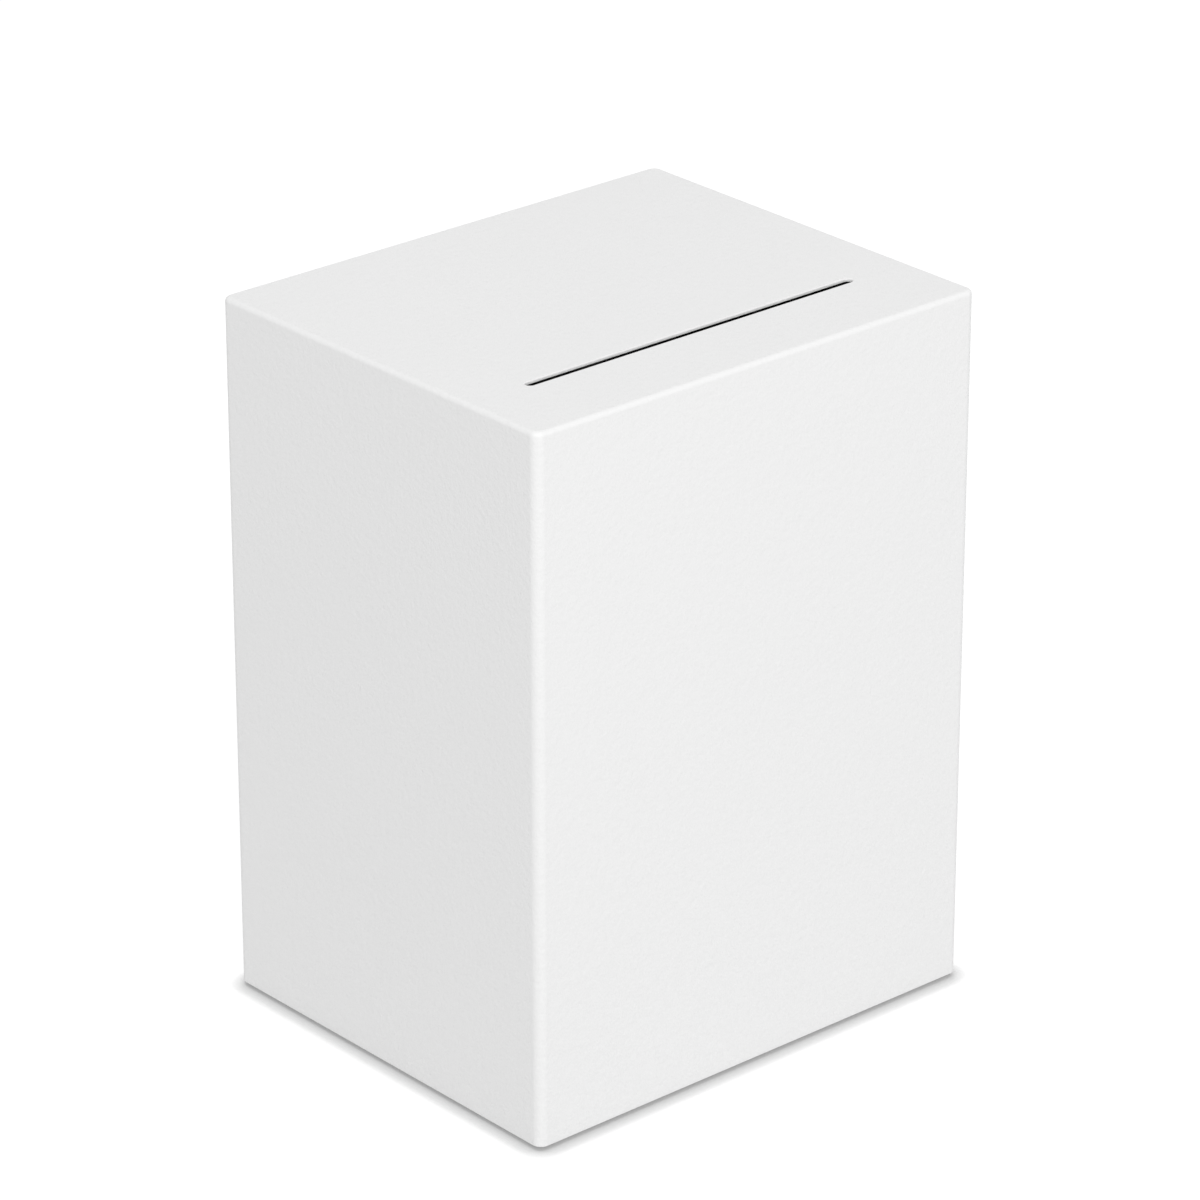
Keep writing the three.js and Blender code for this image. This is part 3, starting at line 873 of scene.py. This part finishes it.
def within_group():
    """One inside a box and nothing outside it."""
    tree, given, result = make_group("within", ("Place", "Low", "High"), (), ("Inside",))
    link = tree.links.new

    def combine_vectors(operation, first, second):
        node = tree.nodes.new("ShaderNodeVectorMath")
        node.operation = operation
        link(first, node.inputs[0])
        link(second, node.inputs[1])
        return node.outputs["Vector"]

    over_low = combine_vectors("SUBTRACT", given.outputs["Place"], given.outputs["Low"])
    under_high = combine_vectors("SUBTRACT", given.outputs["High"], given.outputs["Place"])
    nearest = combine_vectors("MINIMUM", over_low, under_high)
    split = tree.nodes.new("ShaderNodeSeparateXYZ")
    link(nearest, split.inputs["Vector"])
    least = split.outputs["X"]
    for axis in ("Y", "Z"):
        least = calculate(tree, "MINIMUM", least, split.outputs[axis])
    link(calculate(tree, "GREATER_THAN", least, 0.0), result.inputs["Inside"])
    return tree


stipple = stipple_group()
cloud = cloud_group()
within = within_group()


# Finishes

class Finish:
    """A material being mixed: one surface shader and what feeds it."""

    def __init__(self, name):
        self.material = bpy.data.materials.new(name)
        self.material.use_nodes = True
        self.tree = self.material.node_tree
        self.surface = self.tree.nodes["Principled BSDF"]
        self.place = self.tree.nodes.new("ShaderNodeTexCoord").outputs["Object"]

    def set(self, **values):
        set_sockets(self.surface, values)

    def group(self, tree, **values):
        node = self.tree.nodes.new("ShaderNodeGroup")
        node.node_tree = tree
        set_sockets(node, values)
        self.tree.links.new(self.place, node.inputs["Place"])
        return node

    def blend(self, share, first, second):
        """A colour between two others, each written out or taken from a socket."""
        mix = self.tree.nodes.new("ShaderNodeMix")
        mix.data_type = "RGBA"
        self.tree.links.new(share, mix.inputs["Factor"])
        sockets = [socket for socket in mix.inputs if socket.type == "RGBA"]
        for socket, colour in zip(sockets, (first, second)):
            if isinstance(colour, tuple):
                socket.default_value = (*colour, 1)
            else:
                self.tree.links.new(colour, socket)
        return next(socket for socket in mix.outputs if socket.type == "RGBA")

    def colour(self, value):
        self.tree.links.new(value, self.surface.inputs["Base Color"])

    def roughen(self, value):
        self.tree.links.new(value, self.surface.inputs["Roughness"])

    def bump(self, height, depth):
        node = add_node(self.tree, "ShaderNodeBump", Distance=depth)
        self.tree.links.new(height, node.inputs["Height"])
        self.tree.links.new(node.outputs["Normal"], self.surface.inputs["Normal"])


def powder_coat():
    """White outside. Inside the closed shell the coat is painted dark grey as painted shade, so the slot
    shows dark.
    """
    finish = Finish("white_powder_coat")
    skin = finish.group(stipple, Coarse=700.0, Fine=1700.0, Fine_Share=0.4)
    patches = finish.group(cloud, Scale=60.0, Low=0.38, High=0.46)
    # The box just inside the shell's walls, where the coat is painted dark grey as shade
    margin = SHEET - TOLERANCE
    inner_low = Vector((shell_low.x + margin, shell_low.y + margin, base_low.z + margin))
    inner_high = Vector((shell_high.x - margin, back_y - JAMB_DEPTH + TOLERANCE, shell_high.z - margin))
    inside = finish.group(within, Low=inner_low, High=inner_high)
    white = finish.blend(skin.outputs["Tone"], *COAT_TONES)
    finish.colour(finish.blend(inside.outputs["Inside"], white, PAINTED_SHADE_INSIDE))
    finish.roughen(patches.outputs["Value"])
    finish.bump(skin.outputs["Height"], COAT_BUMP)
    return finish.material


def bare_metal(name, tones, tone_scale, wear_scale, smoothest, roughest):
    """Metal with patches of tone and of wear."""
    finish = Finish(name)
    patches = finish.group(cloud, Scale=tone_scale, Low=0.0, High=1.0)
    wear = finish.group(cloud, Scale=wear_scale, Low=smoothest, High=roughest)
    finish.set(Metallic=1.0)
    finish.colour(finish.blend(patches.outputs["Value"], *tones))
    finish.roughen(wear.outputs["Value"])
    return finish


def zinc_plate():
    finish = bare_metal(
        "zinc_plate", ZINC_TONES, tone_scale=700.0, wear_scale=250.0, smoothest=0.28, roughest=0.42
    )
    skin = finish.group(stipple, Coarse=1500.0, Fine=5000.0, Fine_Share=0.4)
    finish.bump(skin.outputs["Height"], ZINC_BUMP)
    return finish.material


def chrome_plate():
    finish = bare_metal(
        "chrome_plate", CHROME_TONES, tone_scale=150.0, wear_scale=300.0, smoothest=0.1, roughest=0.18
    )
    return finish.material


def plug_brass():
    finish = bare_metal(
        "plug_brass", BRASS_TONES, tone_scale=400.0, wear_scale=900.0, smoothest=0.22, roughest=0.36
    )
    skin = finish.group(stipple, Coarse=2000.0, Fine=6000.0, Fine_Share=0.5)
    finish.bump(skin.outputs["Height"], BRASS_BUMP)
    return finish.material


def foot_rubber():
    finish = Finish("foot_rubber")
    skin = finish.group(stipple, Coarse=1200.0, Fine=4000.0, Fine_Share=0.5)
    patches = finish.group(cloud, Scale=300.0, Low=0.62, High=0.78)
    finish.colour(finish.blend(skin.outputs["Tone"], *RUBBER_TONES))
    finish.roughen(patches.outputs["Value"])
    finish.bump(skin.outputs["Height"], RUBBER_BUMP)
    return finish.material


# Making and dressing every piece

finishes = {
    "white_coat": powder_coat(),
    "zinc_plate": zinc_plate(),
    "chrome_plate": chrome_plate(),
    "plug_brass": plug_brass(),
    "foot_rubber": foot_rubber(),
}


def paint(piece, slot):
    piece.data.materials.clear()
    piece.data.materials.append(finishes[slot])


def dress(piece, node, body, slot):
    shade(piece)
    paint(piece, slot)
    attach(piece, body)
    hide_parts(node)


dress(coated_shell(), "body_shell", "box", "white_coat")
dress(coated_base(), "base_pan", "box", "white_coat")
dress(coated_door(), "rear_door", "door", "white_coat")
for foot in feet:
    dress(rubber_foot(foot), foot, "box", "foot_rubber")
frame_leaf = plated_leaf(
    "plated_frame_leaf", "hinge_frame_leaf", side=-1, first_knuckle=0, rivets=frame_rivets
)
dress(frame_leaf, "hinge_frame_leaf", "box", "zinc_plate")
door_leaf = plated_leaf(
    "plated_door_leaf", "hinge_door_leaf", side=1, first_knuckle=1, rivets=door_rivets
)
dress(door_leaf, "hinge_door_leaf", "door", "zinc_plate")
dress(plated_pin(), "hinge_pin", "box", "zinc_plate")
for rivet in frame_rivets:
    dress(plated_rivet(rivet), rivet, "box", "zinc_plate")
for rivet in door_rivets:
    dress(plated_rivet(rivet), rivet, "door", "zinc_plate")
dress(chromed_housing(), "lock_housing", "door", "chrome_plate")
dress(plated_nut(), "lock_nut", "door", "zinc_plate")
dress(brass_plug(), "lock_plug", "lock_cylinder", "plug_brass")
dress(plated_cam(), "lock_cam", "lock_cylinder", "zinc_plate")
dress(plated_screw(), "cam_screw", "lock_cylinder", "zinc_plate")
for washer in ("lock_washer", "stop_washer"):
    paint(frame["nodes"][washer], "zinc_plate")


# Floor, light and camera

def seen_directly(tree):
    """One for what the camera sees, also by reflection or through glass, and nothing for soft light."""
    path = tree.nodes.new("ShaderNodeLightPath")
    total = path.outputs["Is Camera Ray"]
    for output in ("Is Glossy Ray", "Is Transmission Ray"):
        total = calculate(tree, "MAXIMUM", total, path.outputs[output])
    return total


def make_floor():
    bpy.ops.mesh.primitive_plane_add(size=FLOOR_SIZE, location=(0, 0, 0))
    floor = name_new("floor")
    finish = Finish("floor_white")
    finish.set(Roughness=1.0, Specular_IOR_Level=0.0, Emission_Color=WHITE_LIGHT)
    seen = seen_directly(finish.tree)
    seen_white = FLOOR_WHITE * FLOOR_SHARE
    finish.colour(finish.blend(seen, (FLOOR_WHITE,) * 3, (seen_white,) * 3))
    # Painted shadow: ambient occlusion near the box darkens the floor's emission, down to a least share
    contact = add_node(finish.tree, "ShaderNodeAmbientOcclusion", Distance=SHADOW_REACH)
    contact.samples = SHADOW_SAMPLES
    openness = calculate(finish.tree, "POWER", contact.outputs["AO"], SHADOW_DEPTH)
    softened = calculate(finish.tree, "MAXIMUM", openness, SHADOW_LEAST)
    lift = calculate(finish.tree, "MULTIPLY", softened, FLOOR_LIFT)
    shown = calculate(finish.tree, "MULTIPLY", lift, seen)
    finish.tree.links.new(shown, finish.surface.inputs["Emission Strength"])
    floor.data.materials.append(finish.material)


def make_sky():
    world = bpy.data.worlds.new("studio")
    bpy.context.scene.world = world
    world.use_nodes = True
    tree = world.node_tree
    sky = tree.nodes["Background"]
    sky.inputs["Color"].default_value = WHITE_LIGHT
    strength = add_node(tree, "ShaderNodeMapRange", To_Min=SKY_STRENGTH, To_Max=1.0)
    tree.links.new(seen_directly(tree), strength.inputs["Value"])
    tree.links.new(strength.outputs["Result"], sky.inputs["Strength"])


def make_key():
    light = bpy.data.lights.new("key_softbox", "AREA")
    light.shape = "SQUARE"
    light.size = KEY_SIZE
    light.energy = KEY_POWER
    key = bpy.data.objects.new("key_softbox", light)
    bpy.context.scene.collection.objects.link(key)
    towards = KEY_TOWARDS.normalized()
    key.location = VIEW_AIM + towards * KEY_DISTANCE
    key.rotation_euler = towards.to_track_quat("Z", "Y").to_euler()
    key.visible_camera = False


def make_camera():
    camera = bpy.data.objects.new("camera", bpy.data.cameras.new("camera"))
    bpy.context.scene.collection.objects.link(camera)
    turn_round = Matrix.Rotation(VIEW_AZIMUTH, 4, "Z")
    tip_down = Matrix.Rotation(math.pi / 2 - VIEW_ELEVATION, 4, "X")
    draw_back = Matrix.Translation((0, 0, VIEW_DISTANCE))
    camera.matrix_world = Matrix.Translation(VIEW_AIM) @ turn_round @ tip_down @ draw_back
    camera.data.lens = LENS
    bpy.context.scene.camera = camera


make_floor()
make_sky()
make_key()
make_camera()
bpy.context.scene.view_settings.view_transform = "Standard"
